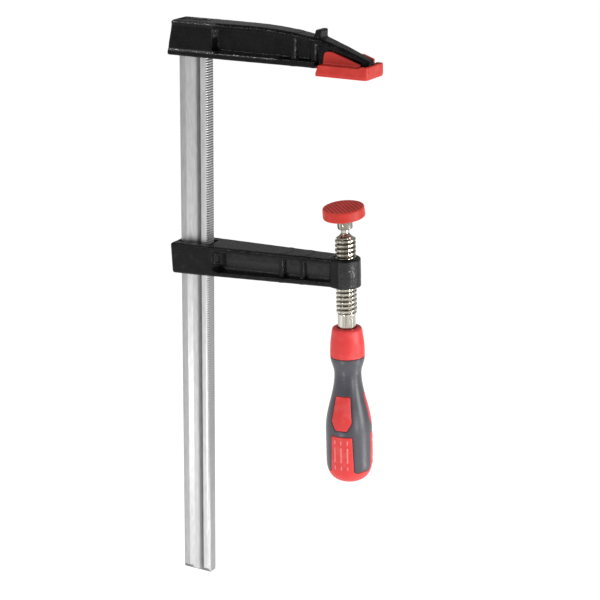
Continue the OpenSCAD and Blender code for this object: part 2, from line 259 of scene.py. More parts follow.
def mesh_object(name, points, faces, place, shade=None):
    """Mesh from points in millimetres in a local frame. shade is the painted light, shade and tone of
    each point, 0 to 1.
    """
    mesh = bpy.data.meshes.new(name)
    counts = np.array([len(f) for f in faces])
    loops = np.concatenate([np.asarray(f) for f in faces]).astype(np.int32)
    mesh.vertices.add(len(points))
    mesh.loops.add(len(loops))
    mesh.polygons.add(len(faces))
    rotation = np.array(place.to_3x3())
    world = (points @ rotation.T + np.array(place.translation)) * MM
    mesh.vertices.foreach_set("co", world.astype(np.float32).ravel())
    mesh.loops.foreach_set("vertex_index", loops)
    starts = np.concatenate([[0], np.cumsum(counts)[:-1]]).astype(np.int32)
    mesh.polygons.foreach_set("loop_start", starts)
    mesh.polygons.foreach_set("use_smooth", np.ones(len(faces), bool))
    mesh.update(calc_edges=True)
    # This attribute carries painted light and shade as well as the piece's own tones
    tone_and_shade = mesh.attributes.new("tone_and_shade", "FLOAT", "POINT")
    shade = np.full(len(points), PLAIN) if shade is None else np.asarray(shade)
    tone_and_shade.data.foreach_set("value", (TONE_AND_SHADE_SHARE * shade).astype(np.float32))
    obj = bpy.data.objects.new(name, mesh)
    bpy.context.scene.collection.objects.link(obj)
    return obj


def solid(name, field, low, high, step, place, shade=None):
    """Mesh of a distance field inside a box."""
    low, high = np.array(low, float) - 2 * step, np.array(high, float) + 2 * step
    counts = np.ceil((high - low) / step).astype(int) + 1
    values = sample(field, low, counts, step)
    points, number = cell_points(values, low, step)
    points = settle(field, points, step)
    tone_and_shade = None if shade is None else shade(points)
    return mesh_object(name, points, cell_faces(values, number), place, tone_and_shade)


def sweep(name, rows, place, shade=None):
    """Mesh of closed rings of points, in order, with its ends closed."""
    count, ring = rows.shape[:2]
    index = np.arange(count * ring).reshape(count, ring)
    ahead = np.roll(index, -1, 1)
    quads = np.stack([index[:-1], ahead[:-1], ahead[1:], index[1:]], -1).reshape(-1, 4)
    faces = list(quads) + [index[0][::-1], index[-1]]
    return mesh_object(name, rows.reshape(-1, 3), faces, place, shade)


def turned(name, side, place, around=96):
    """Mesh turned round Z from an outline (radius, z), from its lower end to its upper end."""
    angle = np.linspace(0, 2 * math.pi, around, endpoint=False)
    r, z = np.array(side, float).T
    rows = np.stack(
        [
            r[:, None] * np.cos(angle),
            r[:, None] * np.sin(angle),
            z[:, None] * np.ones(around),
        ],
        -1,
    )
    return sweep(name, rows, place)


# ---- fixed jaw ----

# Depth and length of the gentle waves and of the pits of a casting
WAVES = 0.03
WAVE_LENGTH = 7
PITS = 0.11
PIT_LENGTH = 1.5


def near(v, low, high, blend=1.5):
    """1 between low and high, fading to 0 outside."""
    return 1 - smooth(between(v, low, high), -blend, 0)


JAW_TOP = 23.6
LUG_X = (89.8, 95.3)
NOSE_END = 129.2
WEB_HALF = 3.5
JAW_RIBS = (75.7, 90.1)
POCKET_DRAFT = 0.34


def jaw_top(x):
    return JAW_TOP - np.maximum(x - 44, 0) ** 2 / 520


def jaw_half(x):
    return np.interp(x, (18.5, 95.3, 110.3, NOSE_END), (10, 7.3, 5.7, 3.8))


curve = np.linspace(LUG_X[0], 44, 7)
JAW_SIDE = rounded(
    [(-17, 0, 1.2), (NOSE_END, 0, 0.4), (NOSE_END, 6.8, 3)]
    + [(110.3, 14.2, 6), (LUG_X[1], 19.2, 0)]
    + [(x, jaw_top(x), 0) for x in curve]
    + [(-13.8, JAW_TOP, 2.2)]
)
JAW_LUG = rounded(
    [(89.6, 14, 0), (LUG_X[1], 14, 0), (LUG_X[1], 24.6, 1.1)]
    + [(91.5, 24.5, 1.2), (90, 19.2, 0)]
)
JAW_POCKET = rounded(
    [(19.6, 4.6, 3), (92.5, 4.6, 0), (92.5, 2.2, 0), (123.7, 2.2, 0)]
    + [(123.7, 5.5, 0.5), (109.3, 10.1, 0), (96.3, 14.2, 3)]
    + [(x, jaw_top(x) - 3.2, 0) for x in (88, 80, 70, 60, 50)]
    + [(19.6, JAW_TOP - 3.2, 2)]
)


def drafted(x, y, wall):
    """Place along a pocket, moved so that its end wall near the rail leans outwards."""
    return x + POCKET_DRAFT * (y - WEB_HALF) * (1 - smooth(x, wall, wall + 25))


def jaw_field(p):
    x, y, z = p.T
    y = np.abs(y)
    half = jaw_half(x)
    # The flanges stand a little proud of the head's sides
    inset = 0.5 * smooth(z, 3.4, 4.4) * (1 - smooth(z, 20, 21.4)) * (x < 24)
    side = outline(x, z, JAW_SIDE)
    body = meet(side, y - half + inset, 1.1 + 1.3 * smooth(z, 7, 18))
    pocket = meet(
        outline(drafted(x, y, 19.6), z, JAW_POCKET) - 0.08 * (y - WEB_HALF),
        WEB_HALF - y,
        1.6,
    )
    shape = cut(body, pocket, 0.9)
    for rib in JAW_RIBS:
        depth = half - 1.5 - y
        bar = meet(np.abs(x - rib) - 1.9 - 0.2 * depth, -depth, 1.5)
        shape = join(shape, np.maximum(bar, body + 0.4), 1.2)
    lug = meet(outline(x, z, JAW_LUG), y - 5.5, 1)
    shape = join(shape, lug, 0.8)
    slot = np.maximum(np.abs(x) - 11.1, y - 5.35)
    shape = cut(shape, slot, 0.5) + waviness(p, WAVES, WAVE_LENGTH, 3)
    return shape + jaw_rough_and_sheen(p) * waviness(p, PITS, PIT_LENGTH, 4)


def jaw_rough_and_sheen(p):
    """Where the casting is rough, and where its paint gets a painted sheen: ledges, wall ends and between
    the ribs.
    """
    x, y, z = p.T
    ledge = near(z, 2.6, 5.2, 1) * near(x, -17, 66)
    top = near(z, 21.3, 24, 1) * near(x, -17, 21)
    wall = near(x, 15.5, 20.5) * near(z, 13, 21)
    ribs = np.maximum(near(x, 76, 80), near(x, 90.5, 94)) * near(z, 3, 19)
    sides = np.maximum(wall, ribs) * (np.abs(y) > 4) * near(np.abs(y), 4, jaw_half(x) - 0.5)
    return np.maximum(np.maximum(ledge, top), sides)


def jaw_shade(p):
    # The jaw is darker than the arm all over, and its rough places get a painted sheen
    return 0.15 + 0.85 * jaw_rough_and_sheen(p)


# ---- cap on the jaw's foot ----

CAP_X = (94.5, 131.8)
CAP_PLAN = rounded(
    [(CAP_X[0], -12.6, 1), (CAP_X[1], -12.6, 3.4), (CAP_X[1], 12.6, 1.3), (CAP_X[0], 12.6, 1)]
)
CAP_SIDE = rounded(
    [(CAP_X[0], -4, 0.4), (CAP_X[1], -4, 0.4), (CAP_X[1] - 0.3, 4.5, 0.7)]
    + [(CAP_X[1] - 4.5, 4.5, 1), (CAP_X[1] - 7, 3.3, 1), (CAP_X[0] + 2.4, 3.3, 0.7)]
)
CHEEK = rounded(
    [(97.3, 2, 0), (123.6, 2, 0), (123.6, 4.7, 0.6), (103.8, 11.3, 2.5), (98, 11.3, 2.8)]
)
FAR_LIP = rounded(
    [(118, 2, 0), (128, 2, 0), (128.3, 7.4, 0.7), (121, 9.9, 1), (118, 9.9, 0)]
)
CREASE = -1.8


def cap_field(p):
    x, across, z = p.T
    y = np.abs(across)
    # The walls lean in above the crease, and more below it
    lean = 0.04 * np.maximum(z - CREASE, 0) + 0.24 * np.maximum(CREASE - z, 0)
    outer = meet(outline(x, across, CAP_PLAN) + lean, outline(x, z, CAP_SIDE), 0.5)
    hollow = np.maximum(np.maximum(x - NOSE_END - 0.1, y - 10.1), -z)
    tray = cut(outer, hollow, 0.5)
    ledge = np.maximum(
        np.maximum(between(x, 97.3, 123.6), between(y, 3.6, 11)), between(z, 2.3, 3.3)
    )
    cheek = meet(outline(x, z, CHEEK), between(y, 3.6, 6.2), 0.6)
    lip = meet(outline(x, z, FAR_LIP), between(across, 3.6, 6.4), 0.5)
    shape = join(tray, join(ledge, np.minimum(cheek, lip), 0.8), 0.4)
    nose = np.maximum(outline(x, z, JAW_SIDE), y - jaw_half(x)) - 0.08
    return np.maximum(shape, -np.maximum(nose, 118 - x))


# ---- sliding arm ----

ARM_BACK = -14.3
ARM_POCKET = (21.6, 106.0)
ARM_RIBS = (69.4, 84.9)
BOSS_R = 10.0
BOSS_HALF = 9.8
BORE_R = 7.07


def arm_height(x):
    return 10.8 - 1.2 * x / SPINDLE_X


def arm_half(x):
    return np.interp(x, (4, SPINDLE_X), (13, 8.3))


ARM_SIDE = rounded(
    [(ARM_BACK + 0.6, -arm_height(0), 1.8), (SPINDLE_X, -9.6, 0), (SPINDLE_X, 9.6, 0)]
    + [(ARM_BACK, arm_height(0), 1.8)]
)
ARM_HOLLOW = rounded(
    [(ARM_POCKET[0], 4 - arm_height(22), 3), (ARM_POCKET[1], 4 - arm_height(101), 1.5)]
    + [(ARM_POCKET[1], arm_height(101) - 4, 1.5), (ARM_POCKET[0], arm_height(22) - 4, 1.8)]
)
SLOT_RELIEF = rounded([(9, 13, 0), (9, 2, 0), (14, 13, 0)])


def arm_field(p):
    x, y, z = p.T
    y = np.abs(y)
    half = arm_half(x)
    body = meet(outline(x, z, ARM_SIDE), y - half, 1.9)
    hollow = meet(
        outline(drafted(x, y, ARM_POCKET[0]), z, ARM_HOLLOW) - 0.06 * (y - WEB_HALF),
        WEB_HALF - y,
        1.6,
    )
    shape = cut(body, hollow, 0.9)
    for rib in ARM_RIBS:
        depth = half - 1.7 - y
        bar = meet(np.abs(x - rib) - 1.3 - 0.32 * depth, -depth, 1)
        shape = join(shape, np.maximum(bar, body + 0.4), 1.2)
    from_axis = np.hypot(x - SPINDLE_X, y)
    boss = meet(from_axis - BOSS_R, np.abs(z) - BOSS_HALF, 1)
    shape = join(shape, boss, 1.6)
    # The slot stays upright while the arm leans
    lean = math.radians(ARM_LEAN)
    across = x * math.cos(lean) - z * math.sin(lean)
    up = x * math.sin(lean) + z * math.cos(lean)
    slot = np.maximum(np.abs(across) - 11.4, y - 5.65)
    relief = np.maximum(outline(across, up, SLOT_RELIEF), y - 5.65)
    shape = cut(shape, np.minimum(slot, relief), 0.6)
    bore = from_axis - BORE_R - np.maximum(np.abs(z) - BOSS_HALF + 0.9, 0)
    pits = arm_rough_and_sheen(p) * waviness(p, PITS, PIT_LENGTH, 12)
    return np.maximum(shape + waviness(p, WAVES, WAVE_LENGTH, 11) + pits, -bore)


def arm_rough_and_sheen(p):
    """Where the casting is rough, and where its paint gets a painted sheen: wall ends, rib sides and the
    boss.
    """
    x, y, z = p.T
    y = np.abs(y)
    walls = near(x, ARM_POCKET[0] - 4, ARM_POCKET[0] + 1.5, 1)
    for rib in ARM_RIBS:
        walls = np.maximum(walls, near(x, rib + 0.6, rib + 4.5, 1))
    walls = walls * near(z, -4.5, 7.5) * near(y, 4, arm_half(x) - 0.6)
    boss = near(x, SPINDLE_X - 3, SPINDLE_X + 12, 4) * near(z, -9.5, 9, 1)
    return np.maximum(walls, 0.8 * boss)


def arm_shade(p):
    """The web in the pockets is painted lighter, as painted light, and the rough places get a painted
    sheen.
    """
    x, y, z = p.T
    # Painted light on the pocket web
    web_painted_light = 0.28 + 0.36 * near(x, 24, 104) * near(np.abs(y), 0, 5.5) * near(z, -8, 9)
    return np.maximum(web_painted_light, arm_rough_and_sheen(p))


# ---- rail ----

RAIL_HALF_W = 11.0
RAIL_HALF_T = 5.25
RAIL_LOW = -377.2
RAIL_HIGH = 22.8
TOOTH_PITCH = 1.7
TOOTH_DEPTH = 0.9
TOOTH_HALF = 2.8
# Angle of the bevels at the lower end, how far they cut in and how dark they are painted, as painted
# shade
BEVEL = 32
BEVEL_DEPTH = 2.1
BEVEL_SHADE = 0.4
# Painted light and shade across the rail: a painted shadow in the groove by its right wall, a darker left
# bead and left edge and a painted highlight on the right corner, by place across the rail: (x, how light)
RAIL_LIGHT_AND_SHADE = (
    (-11, 0.1), (-10.4, 0.35), (-9.9, 0.77), (-5.7, 0.79), (-5.2, 0.94), (-2, 0.97), (0.3, 0.97),
    (1.5, 0.86), (2.6, 0.62), (4.7, 0.42), (5.9, 0.34), (6.3, 0.95), (8.8, 0.96), (9.6, 1.02), (11, 1.06),
)
# Painted reflection that lightens the rail towards its lower end, and painted shade in the tooth notches,
# less dark lower down, by height: (z, how light)
HEIGHT_PAINTED_REFLECTION = ((-330, 0.95), (-20, 0.84))
TOOTH_NOTCH_SHADE = ((-330, 0.6), (-200, 0.35), (-60, 0.02))


def rail_section():
    """Points round the dog-bone section, which is the same on all four quarters."""
    edge = [(RAIL_HALF_W, y) for y in np.linspace(-TOOTH_HALF, TOOTH_HALF, 7)]
    bead = rounded(
        [(RAIL_HALF_W, 0, 0), (RAIL_HALF_W, RAIL_HALF_T, 2.4)]
        + [(x, RAIL_HALF_T, 0) for x in (6.7, 6.3, 5.9)]
        + [(5.2, RAIL_HALF_T, 1.6), (2.2, 3.6, 1.6), (0, 3.6, 0)],
        steps=6,
    )[1:-1]
    floor = [(x, 3.6) for x in (1.3, 0.8, 0.3)]
    upper = edge[3:] + [tuple(q) for q in bead] + floor
    left = [(-x, y) for x, y in upper[::-1]]
    top = upper + left
    bottom = [(x, -y) for x, y in top[1:-1][::-1]]
    return np.array(top + bottom)


def rail_rows():
    """Rings up the rail: each tooth has a full part and a cut-back part."""
    section = rail_section()
    teeth = int((RAIL_HIGH - RAIL_LOW) / TOOTH_PITCH)
    heights, depths = [], []
    for i in range(teeth):
        for part, depth in ((0, 0), (0.56, 0), (0.68, 1), (0.88, 1)):
            heights.append(RAIL_LOW + (i + part) * TOOTH_PITCH)
            depths.append(depth)
    heights.append(RAIL_HIGH)
    depths.append(0)
    rows = np.zeros((len(heights), len(section), 3))
    shade = np.ones(rows.shape[:2])
    # Painted light and shade across the rail
    scale = np.interp(section[:, 0], *zip(*RAIL_LIGHT_AND_SHADE))
    rng = np.random.default_rng(5)
    for i, (z, depth) in enumerate(zip(heights, depths)):
        x, y = section.T.copy()
        reach = RAIL_HALF_W - depth * TOOTH_DEPTH
        # Painted shade in the tooth notches, lighter in the middle of the side face
        notch_shade = np.interp(z, *zip(*TOOTH_NOTCH_SHADE)) + rng.uniform(0, 0.3)
        notch_shade = np.where(np.abs(y) > 2, notch_shade, 0.7)
        shade[i] = np.where(np.abs(x) > reach, notch_shade, 1)
        # Painted reflection, lighter towards the lower end
        shade[i] = np.minimum(shade[i], scale) * np.interp(z, *zip(*HEIGHT_PAINTED_REFLECTION))
        x = np.clip(x, -reach, reach)
        limit = RAIL_HALF_T - BEVEL_DEPTH + (z - RAIL_LOW) * math.tan(math.radians(BEVEL))
        # Painted shade on the bevels
        shade[i] = np.where(np.abs(y) > limit, BEVEL_SHADE, shade[i])
        y = np.clip(y, -limit, limit)
        rows[i] = np.stack([x, y, np.full(len(x), z)], 1)
    shade[-1] = 0
    return rows, shade.ravel()


# ---- spindle ----

PITCH = 3.0
ROOT_R = 5.5
CREST_R = 7.0
THREAD = (-29.0, 27.2)
SHANK_R = 6.1
NECK_R = 2.9
BALL_R = 4.15
TANG = -90.0
# How light the thread's root and crest are painted, above and below the arm: painted shade in the roots,
# and the thread darker above the arm than below it
THREAD_SHADE_ABOVE = (0.25, 0.9)
THREAD_SHADE_BELOW = (0.75, 1)
RING_STEP = 0.14


def thread_envelope(z):
    """Greatest radius of the spindle at z: the thread fades into the flared neck and the shank."""
    flare = NECK_R + (CREST_R - NECK_R) * np.clip((27.3 - z) / 4.3, 0, 1) ** 2
    return np.where(z < THREAD[0] + 1.5, SHANK_R + (z - THREAD[0]) * 0.6, flare)


def spindle_rows(around=72):
    angle = np.linspace(0, 2 * math.pi, around, endpoint=False)
    turn = angle / (2 * math.pi)
    rows, shade = [], []

    def ring(radius, z):
        radius = np.broadcast_to(radius, around)
        threaded = THREAD[0] + 1 < z < THREAD[1] - 4
        # Painted shade in the thread roots
        root, crest = THREAD_SHADE_ABOVE if z > 0 else THREAD_SHADE_BELOW
        tone = root + (crest - root) * smooth(radius, ROOT_R, CREST_R - 0.5)
        shade.append(tone if threaded else np.ones(around))
        rows.append(
            np.stack(
                [radius * np.cos(angle), radius * np.sin(angle), np.full(around, z)], 1
            )
        )

    for radius, z in ((4.4, TANG), (5, TANG + 0.6), (5, -43), (SHANK_R, -42)):
        ring(radius, z)
    for z in np.arange(-41, THREAD[0], 3):
        ring(SHANK_R, z)
    for z in np.arange(THREAD[0], THREAD[1], RING_STEP):
        phase = (z / PITCH - turn) % 1
        # Rounded flanks, a flat crest and a narrower flat root
        rise = smooth(phase, 0.06, 0.3) * (1 - smooth(phase, 0.7, 0.94))
        thread = ROOT_R + (CREST_R - ROOT_R) * rise
        low_end = smooth(z, THREAD[0], THREAD[0] + 2.2)
        thread = SHANK_R + (thread - SHANK_R) * low_end
        ring(np.minimum(thread, thread_envelope(z + 0 * turn) if z > 0 else 99), z)
    neck_top = BALL_UP - math.sqrt(BALL_R**2 - NECK_R**2)
    for z in np.linspace(THREAD[1], neck_top, 6):
        ring(thread_envelope(np.array(z)), z)
    start = -math.acos(NECK_R / BALL_R)
    for a in np.linspace(start, math.pi / 2 - 0.05, 16)[1:]:
        ring(BALL_R * math.cos(a), BALL_UP + BALL_R * math.sin(a))
    return np.array(rows), np.ravel(shade)


# ---- pressure plate and its cap ----

PLATE_SIDE = [
    (0.4, 1.5),
    (3.4, 1.2),
    (4.45, 0),
    (3.9, -2.3),
    (4.5, -2.35),
    (5, -2.1),
    (5.25, -1.6),
    (5.25, 3.2),
    (5.3, 3.8),
    (5.6, 4.6),
    (6.3, 5.6),
    (7.4, 6.4),
    (8.4, 6.6),
    (12.08, 6.6),
    (12.08, 9.98),
    (0.4, 9.98),
]
CAP_R = 14.1
CAP_LOW = 5.6
CAP_TOP = 12.6
WAFFLE_PITCH = 2.4
WAFFLE_DEPTH = 0.45


def waffle(p):
    """How deep in a groove of the pad's face each point lies, 0 to 1."""
    x, y, z = p.T
    u, v = (x + y) / math.sqrt(2), (x - y) / math.sqrt(2)
    groove = np.maximum(
        np.cos(2 * math.pi * u / WAFFLE_PITCH), np.cos(2 * math.pi * v / WAFFLE_PITCH)
    )
    flat = 1 - smooth(np.hypot(x, y), 12.6, 13.2)
    return smooth(groove, 0.55, 0.98) * flat * smooth(z, CAP_TOP - 1.5, CAP_TOP - 0.6)


def pad_shade(p):
    """The face is painted lighter than the sides, as painted light, and its grooves carry painted shade.
    """
    return PLAIN + 0.12 * smooth(p[:, 2], CAP_TOP - 0.6, CAP_TOP - 0.2) - 0.42 * waffle(p)


def pad_field(p):
    x, y, z = p.T
    r = np.hypot(x, y)
    side = r - CAP_R + 0.045 * (z - CAP_LOW)
    outer = meet(side, between(z, CAP_LOW, CAP_TOP), 1)
    # Two sets of shallow grooves cross on the face
    outer = outer + WAFFLE_DEPTH * waffle(p)
    hollow = np.maximum(r - 12.15, between(z, 6.55, 10.05))
    mouth = np.maximum(r - 10.1, between(z, 0, 7))
    return cut(outer, np.minimum(hollow, mouth), 0.3)


# ---- handle, measured down from its top ----

HANDLE_LEN = 109.0
COLLAR_LEN = 20.0
COLLAR_R = 11.7
WAIST_R = 9.1
GRIP_R = 15.7
GRIP_T = 2.2
END_FROM = 94.0
# Turn of one set of windows, and the step to the next
WINDOW_TURN = -85
WINDOW_STEP = 120
SEAM = 0.22
TONGUE_END = 102.5


def ease(a, b, t):
    return a + (b - a) * (1 - np.cos(math.pi * np.clip(t, 0, 1))) / 2


def belly(d):
    return np.where(
        d < 32,
        ease(COLLAR_R, WAIST_R, (d - COLLAR_LEN) / 12),
        ease(WAIST_R, GRIP_R, (d - 32) / 40),
    )


def handle_side():
    """Outline (radius, distance down) of the whole handle."""
    points = [(0, 0), (8.7, 0), (9.5, 0.35), (10, 1.1), (10.3, 2.4)]
    points += [(11.4, 11), (COLLAR_R, 16)]
    points += [(float(belly(d)), d) for d in np.arange(COLLAR_LEN, END_FROM, 3)]
    for t in np.radians(np.arange(3, 90, 9)):
        end = (HANDLE_LEN - END_FROM) * math.sin(t) ** 0.9
        points.append((GRIP_R * math.cos(t) ** 0.62, END_FROM + end))
    return np.array(points + [(0, HANDLE_LEN)])


HANDLE_SIDE = handle_side()
UPPER_WINDOW = rounded(
    [(46.3, -5.4, 0.9), (63.4, -7.6, 1.2), (69.2, -4.3, 1.2), (69.2, 4.3, 1.2)]
    + [(63.4, 7.6, 1.2), (46.3, 5.4, 0.9)]
)
LOWER_WINDOW = rounded(
    [(73.6, -7.9, 1), (100, -8.9, 2.5), (100, -30, 0), (130, -30, 0)]
    + [(130, 30, 0), (100, 30, 0), (100, 8.9, 2.5), (73.6, 7.9, 1)]
)
MARK_TURNS = (-17, 0, 16)
MARK_SPANS = ((76.3, 78.6), (81.3, 91.4), (94.6, 96.8))
MARK_R = 0.35
MARK_HEIGHT = 0.45
# The core's mouth round the shank, and the bore for the tang below it
MOUTH_R = 6.5
MOUTH_DEPTH = 1.5
TANG_BORE_R = 6.15
TANG_BORE_DEPTH = 53


def around_handle(p):
    """Distance down, radius and, for the nearest window, the way round along the surface."""
    x, y, z = p.T
    down, r = -z, np.hypot(x, y)
    turn = np.degrees(np.arctan2(y, x)) - WINDOW_TURN
    turn = (turn + WINDOW_STEP / 2) % WINDOW_STEP - WINDOW_STEP / 2
    return down, r, np.radians(turn) * np.maximum(belly(down), 5)


def window_distance(down, along):
    """Distance to the upper and lower windows, with the end cap joined to the lower one."""
    tongue = TONGUE_END - down
    lower = outline(down, along, LOWER_WINDOW)
    end = join(lower, tongue, 3)
    return np.minimum(outline(down, along, UPPER_WINDOW), end)


def handle_body(down, r):
    """Distance to the whole handle. Away from its ends the side alone is near enough."""
    # The first point is left out, as it lies at the same distance as the second
    side_r, side_d = HANDLE_SIDE[1:].T
    slope = np.gradient(side_r, side_d)
    body = (r - np.interp(down, side_d, side_r)) / np.hypot(
        1, np.interp(down, side_d, slope)
    )
    ends = (down < 4) | (down > END_FROM - 3)
    body[ends] = outline(r[ends], down[ends], HANDLE_SIDE)
    return body


def grip_field(p):
    down, r, along = around_handle(p)
    body = handle_body(down, r)
    shape = cut(body, window_distance(down, along) - SEAM, 0.5)
    shape = meet(shape, COLLAR_LEN + SEAM - down, 0.4)
    return np.maximum(shape, -(body + GRIP_T))


def marks(down, along):
    """Distance to the raised marks on each lower window, as seen from outside."""
    lines = [
        np.hypot(along - math.radians(turn) * GRIP_R, np.maximum(between(down, *span), 0))
        for turn in MARK_TURNS
        for span in MARK_SPANS
    ]
    return np.min(lines, axis=0) - MARK_R


def core_shade(p):
    """The raised marks are painted lighter, as a painted highlight."""
    down, _, along = around_handle(p)
    return PLAIN + (1 - PLAIN) * (1 - smooth(marks(down, along), -0.1, 0.3))


def core_field(p):
    down, r, along = around_handle(p)
    body = handle_body(down, r)
    pads = meet(body, window_distance(down, along), 0.5)
    collar = meet(body, down - COLLAR_LEN, 0.4)
    shape = np.minimum(np.minimum(pads, collar), body + GRIP_T + 0.05)
    shape = join(shape, meet(marks(down, along), np.abs(body) - MARK_HEIGHT, 0.2), 0.15)
    mouth = np.maximum(r - MOUTH_R, down - MOUTH_DEPTH)
    shape = cut(shape, mouth, 0.5)
    return np.maximum(shape, -np.maximum(r - TANG_BORE_R, down - TANG_BORE_DEPTH))


# ---- materials ----


def new_material(name):
    material = bpy.data.materials.new(name)
    material.use_nodes = True
    return material, material.node_tree.nodes, material.node_tree.links


def noise(nodes, links, scale, stretch=(1, 1, 1), detail=3):
    """Noise fixed to the object, with scale in features per metre."""
    place = nodes.new("ShaderNodeTexCoord")
    mapping = nodes.new("ShaderNodeMapping")
    mapping.inputs["Scale"].default_value = stretch
    texture = nodes.new("ShaderNodeTexNoise")
    texture.inputs["Scale"].default_value = scale
    texture.inputs["Detail"].default_value = detail
    links.new(place.outputs["Object"], mapping.inputs["Vector"])
    links.new(mapping.outputs["Vector"], texture.inputs["Vector"])
    return texture.outputs["Fac"]


def ramp(nodes, links, source, stops, target):
    """Colour ramp from a noise to a socket. Each stop is (place, colour)."""
    node = nodes.new("ShaderNodeValToRGB")
    elements = node.color_ramp.elements
    while len(elements) < len(stops):
        elements.new(0.5)
    for element, (where, colour) in zip(elements, stops):
        element.position = where
        element.color = (*colour, 1)
    links.new(source, node.inputs["Fac"])
    links.new(node.outputs["Color"], target)


def toned_and_shaded(nodes, links, source, stops, target, spread=0.3):
    """Colour by the painted tone and shade of each point, with its edges broken up by a noise."""
    tone_and_shade = nodes.new("ShaderNodeAttribute")
    tone_and_shade.attribute_name = "tone_and_shade"
    mix = nodes.new("ShaderNodeMath")
    mix.operation = "MULTIPLY_ADD"
    mix.inputs[1].default_value = spread
    links.new(source, mix.inputs[0])
    links.new(tone_and_shade.outputs["Fac"], mix.inputs[2])
    ramp(nodes, links, mix.outputs["Value"], stops, target)


def grey(v):
    return (v, v, v)


def bump(nodes, links, source, strength, distance, after=None):
    node = nodes.new("ShaderNodeBump")
    node.inputs["Strength"].default_value = strength
    node.inputs["Distance"].default_value = distance
    links.new(source, node.inputs["Height"])
    if after is not None:
        links.new(after, node.inputs["Normal"])
    return node.outputs["Normal"]


def black_casting():
    """Black powder coat over a rough casting, with painted light on the arm's pocket web and a painted
    sheen on its rough places.
    """
    material, nodes, links = new_material("black_casting")
    shader = nodes["Principled BSDF"]
    grain = noise(nodes, links, 1500, detail=4)
    patches = noise(nodes, links, 160)
    # Base colour: darkest on the jaw, painted light on the arm's pocket web, dark again under the painted
    # sheen
    stops = [(0.2, grey(0.001)), (0.34, grey(0.007)), (0.54, grey(0.036)), (0.66, grey(0.008))]
    toned_and_shaded(nodes, links, patches, stops, shader.inputs["Base Color"])
    # Painted sheen: the gloss is raised on the rough places so that highlights fall there
    painted_sheen = [(0.6, grey(0.14)), (0.74, grey(1))]
    toned_and_shaded(nodes, links, patches, painted_sheen, shader.inputs["Specular IOR Level"])
    ramp(nodes, links, grain, [(0.35, grey(0.2)), (0.7, grey(0.36))], shader.inputs["Roughness"])
    coarse = bump(nodes, links, noise(nodes, links, 800), 0.5, 0.0006)
    links.new(bump(nodes, links, grain, 0.6, 0.00014, coarse), shader.inputs["Normal"])
    return material


def rail_steel():
    """Cold-drawn steel with fine streaks along the rail."""
    material, nodes, links = new_material("rail_steel")
    shader = nodes["Principled BSDF"]
    streaks = noise(nodes, links, 1, (1800, 1800, 22), 5)
    clouds = noise(nodes, links, 1, (700, 700, 130), 5)
    # Base colour from the painted light, shade and reflection on the rail
    toned_and_shaded(
        nodes,
        links,
        clouds,
        [
            (0.07, grey(0.012)),
            (0.25, grey(0.1)),
            (0.41, grey(0.29)),
            (0.53, grey(0.45)),
            (0.63, grey(0.62)),
            (0.7, grey(0.8)),
        ],
        shader.inputs["Base Color"],
        0.14,
    )
    ramp(nodes, links, streaks, [(0.3, grey(0.3)), (0.75, grey(0.46))], shader.inputs["Roughness"])
    shader.inputs["Metallic"].default_value = 1
    links.new(bump(nodes, links, streaks, 0.35, 0.00008), shader.inputs["Normal"])
    return material


def bright_steel():
    """Nickel-plated steel."""
    material, nodes, links = new_material("bright_steel")
    shader = nodes["Principled BSDF"]
    shader.inputs["Metallic"].default_value = 1
    marks = noise(nodes, links, 700, detail=4)
    bands = noise(nodes, links, 1, (420, 420, 8), 2)
    # Base colour: painted shade in the thread roots
    toned_and_shaded(
        nodes,
        links,
        bands,
        [
            (0.25, (0.15, 0.13, 0.095)),
            (0.8, (0.22, 0.20, 0.165)),
            (0.9, (0.5, 0.48, 0.42)),
            (1, (0.68, 0.66, 0.6)),
        ],
        shader.inputs["Base Color"],
        0.62,
    )
    ramp(nodes, links, marks, [(0.3, grey(0.08)), (0.75, grey(0.22))], shader.inputs["Roughness"])
    links.new(bump(nodes, links, marks, 0.18, 0.0001), shader.inputs["Normal"])
    return material


def spring_steel():
    material, nodes, links = new_material("spring_steel")
    shader = nodes["Principled BSDF"]
    shader.inputs["Base Color"].default_value = (0.45, 0.45, 0.46, 1)
    shader.inputs["Metallic"].default_value = 1
    marks = noise(nodes, links, 1200)
    ramp(nodes, links, marks, [(0.3, grey(0.25)), (0.7, grey(0.4))], shader.inputs["Roughness"])
    return material


def red_plastic(name, dark, colour, light, rough):
    """Moulded plastic with a fine satin grain: painted shade in the grooves, painted light on the pad's
    face and a painted highlight on raised marks.
    """
    material, nodes, links = new_material(name)
    shader = nodes["Principled BSDF"]
    stops = [(0.15, dark), (0.56, colour), (0.65, light)]
    toned_and_shaded(nodes, links, noise(nodes, links, 120), stops, shader.inputs["Base Color"], 0.1)
    shader.inputs["Roughness"].default_value = rough
    shader.inputs["Specular IOR Level"].default_value = 0.3
    grain = noise(nodes, links, 2600)
    links.new(bump(nodes, links, grain, 0.25, 0.00005), shader.inputs["Normal"])
    return material


def grip_rubber():
    """Soft grey rubber."""
    material, nodes, links = new_material("grip_rubber")
    shader = nodes["Principled BSDF"]
    tone = noise(nodes, links, 140)
    ramp(
        nodes,
        links,
        tone,
        [(0.3, (0.040, 0.038, 0.049)), (0.7, (0.052, 0.050, 0.062))],
        shader.inputs["Base Color"],
    )
    shader.inputs["Roughness"].default_value = 0.36
    shader.inputs["Specular IOR Level"].default_value = 0.5
    grain = noise(nodes, links, 2200, detail=4)
    links.new(bump(nodes, links, grain, 0.4, 0.00006), shader.inputs["Normal"])
    return material


def put_on(obj, material):
    obj.data.materials.clear()
    obj.data.materials.append(material)


# ---- the pieces ----


def settle_piece(obj, material, body, slot, *nodes):
    """Gives a piece its material, its body and the CAD nodes that it replaces. The slot argument is not
    used.
    """
    put_on(obj, material)
    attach(obj, body)
    if nodes:
        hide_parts(*nodes)
    return obj


